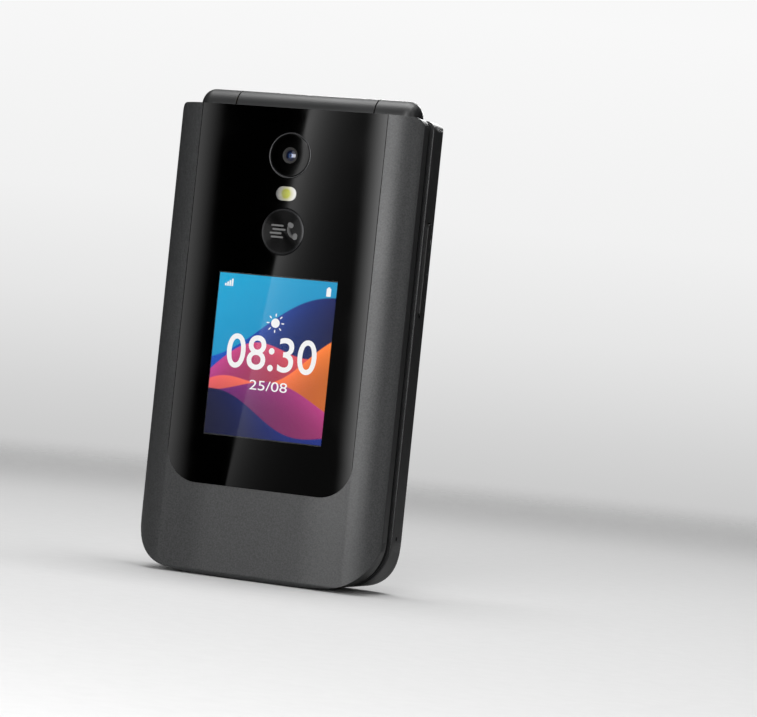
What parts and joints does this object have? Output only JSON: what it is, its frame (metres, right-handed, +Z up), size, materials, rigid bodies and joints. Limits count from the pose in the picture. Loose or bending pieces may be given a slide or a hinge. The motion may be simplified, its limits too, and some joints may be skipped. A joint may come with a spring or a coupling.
{
  "type": "flip phone",
  "caption": "Closed flip phone with a hinged lid, outer display behind glass, round cover key, inner keypad, volume rocker and lift-off rear cover.",
  "frame": {"origin": "middle of the bottom end of the closed phone, which stands on that end", "axes": "+X to the right seen from the lid side, -Y out of the lid's glass, +Y out of the rear cover, +Z up the length to the hinge"},
  "size_m": [0.0583, 0.0188, 0.1063],
  "materials": {
    "shell_grey": "soft-touch matte dark grey, fine grain",
    "frame_dark": "satin dark grey",
    "cover_glass": "polished black glass",
    "gloss_black": "glossy black",
    "ring_metal": "thin bright ring",
    "lens_dark": "dark lens glass",
    "flash_white": "milky flash lens",
    "display": "lit colour display behind glass",
    "spun_black": "spun black",
    "keypad_black": "satin black",
    "key_dark": "satin dark key",
    "nav_metal": "brushed ring",
    "board_green": "solder mask",
    "steel": "plain steel",
    "gold_contact": "plated contacts",
    "rubber_black": "soft",
    "battery_wrap": "printed film, bare",
    "flex_amber": "polyimide film"
  },
  "bodies": {
    "base": {"base_front": "frame_dark", "base_chassis": "keypad_black", "rear_panel": "gloss_black", "main_board": "board_green", "board_shields": "steel", "battery": "battery_wrap", "battery_contacts": "gold_contact", "dome_sheet": "steel", "loudspeaker": "keypad_black", "usb_port": "steel", "headphone_jack": "keypad_black", "microphone": "gold_contact", "sim_holder": "steel", "antenna": "flex_amber", "volume_switches": "gold_contact", "vibration_motor": "steel", "hinge_capsule": "steel", "hinge_bush": "gold_contact", "hinge_flex": "flex_amber", "base_screws": "steel"},
    "lid": {"lid_front": "shell_grey", "cover_glass": "cover_glass", "camera_bezel": "ring_metal", "camera_window": "lens_dark", "camera_module": "lens_dark", "flash_lens": "flash_white", "outer_display": "display", "lid_board": "board_green", "lid_frame": "frame_dark", "main_display": "display", "inner_window": "cover_glass", "earpiece": "keypad_black", "earpiece_mesh": "steel", "lid_bumpers": "rubber_black", "lid_screws": "steel"},
    "cover_key": {"cover_key": "spun_black"},
    "battery_cover": {"battery_cover": "shell_grey"},
    "volume_key": {"volume_key": "frame_dark"},
    "nav_carrier": {"nav_carrier": "keypad_black"},
    "nav_ring": {"nav_ring": "nav_metal"},
    "ok_key": {"ok_key": "key_dark"},
    "soft_key_left": {"soft_key_left": "key_dark"},
    "soft_key_right": {"soft_key_right": "key_dark"},
    "side_key_left": {"side_key_left": "key_dark"},
    "side_key_right": {"side_key_right": "key_dark"},
    "send_key": {"send_key": "key_dark"},
    "end_key": {"end_key": "key_dark"},
    "back_key": {"back_key": "key_dark"},
    "key_1": {"key_1": "key_dark"},
    "key_2": {"key_2": "key_dark"},
    "key_3": {"key_3": "key_dark"},
    "key_4": {"key_4": "key_dark"},
    "key_5": {"key_5": "key_dark"},
    "key_6": {"key_6": "key_dark"},
    "key_7": {"key_7": "key_dark"},
    "key_8": {"key_8": "key_dark"},
    "key_9": {"key_9": "key_dark"},
    "key_star": {"key_star": "key_dark"},
    "key_0": {"key_0": "key_dark"},
    "key_hash": {"key_hash": "key_dark"}
  },
  "joints": [
    {"name": "flip_hinge", "type": "hinge", "parent": "base", "child": "lid", "pos_m": [0, -0.0007, 0.1024], "axis": [-1, 0, 0], "range_deg": [0, 160]},
    {"name": "cover_key_press", "type": "slide", "parent": "lid", "child": "cover_key", "axis": [0, 1, 0], "range_m": [0, 0.0004], "stiffness_N_per_m": 300},
    {"name": "battery_cover_lift", "type": "slide", "parent": "base", "child": "battery_cover", "axis": [0, 1, 0], "range_m": [0, 0.015]},
    {"name": "volume_key_rock", "type": "hinge", "parent": "base", "child": "volume_key", "pos_m": [0.027, 0.0025, 0.0705], "axis": [0, 1, 0], "range_deg": [-1, 1], "stiffness_Nm_per_rad": 0.02},
    {"name": "nav_ring_tilt_side", "type": "hinge", "parent": "base", "child": "nav_carrier", "pos_m": [0, 0.0012, 0.075], "axis": [0, 0, 1], "range_deg": [-1.2, 1.2], "stiffness_Nm_per_rad": 0.02},
    {"name": "nav_ring_tilt_up", "type": "hinge", "parent": "nav_carrier", "child": "nav_ring", "pos_m": [0, 0.0002, 0.075], "axis": [1, 0, 0], "range_deg": [-1.2, 1.2], "stiffness_Nm_per_rad": 0.02},
    {"name": "ok_key_press", "type": "slide", "parent": "base", "child": "ok_key", "axis": [0, 1, 0], "range_m": [0, 0.00035], "stiffness_N_per_m": 300},
    {"name": "soft_key_left_press", "type": "slide", "parent": "base", "child": "soft_key_left", "axis": [0, 1, 0], "range_m": [0, 0.00035], "stiffness_N_per_m": 300},
    {"name": "soft_key_right_press", "type": "slide", "parent": "base", "child": "soft_key_right", "axis": [0, 1, 0], "range_m": [0, 0.00035], "stiffness_N_per_m": 300},
    {"name": "side_key_left_press", "type": "slide", "parent": "base", "child": "side_key_left", "axis": [0, 1, 0], "range_m": [0, 0.00035], "stiffness_N_per_m": 300},
    {"name": "side_key_right_press", "type": "slide", "parent": "base", "child": "side_key_right", "axis": [0, 1, 0], "range_m": [0, 0.00035], "stiffness_N_per_m": 300},
    {"name": "send_key_press", "type": "slide", "parent": "base", "child": "send_key", "axis": [0, 1, 0], "range_m": [0, 0.00035], "stiffness_N_per_m": 300},
    {"name": "end_key_press", "type": "slide", "parent": "base", "child": "end_key", "axis": [0, 1, 0], "range_m": [0, 0.00035], "stiffness_N_per_m": 300},
    {"name": "back_key_press", "type": "slide", "parent": "base", "child": "back_key", "axis": [0, 1, 0], "range_m": [0, 0.00035], "stiffness_N_per_m": 300},
    {"name": "key_1_press", "type": "slide", "parent": "base", "child": "key_1", "axis": [0, 1, 0], "range_m": [0, 0.00035], "stiffness_N_per_m": 300},
    {"name": "key_2_press", "type": "slide", "parent": "base", "child": "key_2", "axis": [0, 1, 0], "range_m": [0, 0.00035], "stiffness_N_per_m": 300},
    {"name": "key_3_press", "type": "slide", "parent": "base", "child": "key_3", "axis": [0, 1, 0], "range_m": [0, 0.00035], "stiffness_N_per_m": 300},
    {"name": "key_4_press", "type": "slide", "parent": "base", "child": "key_4", "axis": [0, 1, 0], "range_m": [0, 0.00035], "stiffness_N_per_m": 300},
    {"name": "key_5_press", "type": "slide", "parent": "base", "child": "key_5", "axis": [0, 1, 0], "range_m": [0, 0.00035], "stiffness_N_per_m": 300},
    {"name": "key_6_press", "type": "slide", "parent": "base", "child": "key_6", "axis": [0, 1, 0], "range_m": [0, 0.00035], "stiffness_N_per_m": 300},
    {"name": "key_7_press", "type": "slide", "parent": "base", "child": "key_7", "axis": [0, 1, 0], "range_m": [0, 0.00035], "stiffness_N_per_m": 300},
    {"name": "key_8_press", "type": "slide", "parent": "base", "child": "key_8", "axis": [0, 1, 0], "range_m": [0, 0.00035], "stiffness_N_per_m": 300},
    {"name": "key_9_press", "type": "slide", "parent": "base", "child": "key_9", "axis": [0, 1, 0], "range_m": [0, 0.00035], "stiffness_N_per_m": 300},
    {"name": "key_star_press", "type": "slide", "parent": "base", "child": "key_star", "axis": [0, 1, 0], "range_m": [0, 0.00035], "stiffness_N_per_m": 300},
    {"name": "key_0_press", "type": "slide", "parent": "base", "child": "key_0", "axis": [0, 1, 0], "range_m": [0, 0.00035], "stiffness_N_per_m": 300},
    {"name": "key_hash_press", "type": "slide", "parent": "base", "child": "key_hash", "axis": [0, 1, 0], "range_m": [0, 0.00035], "stiffness_N_per_m": 300}
  ]
}
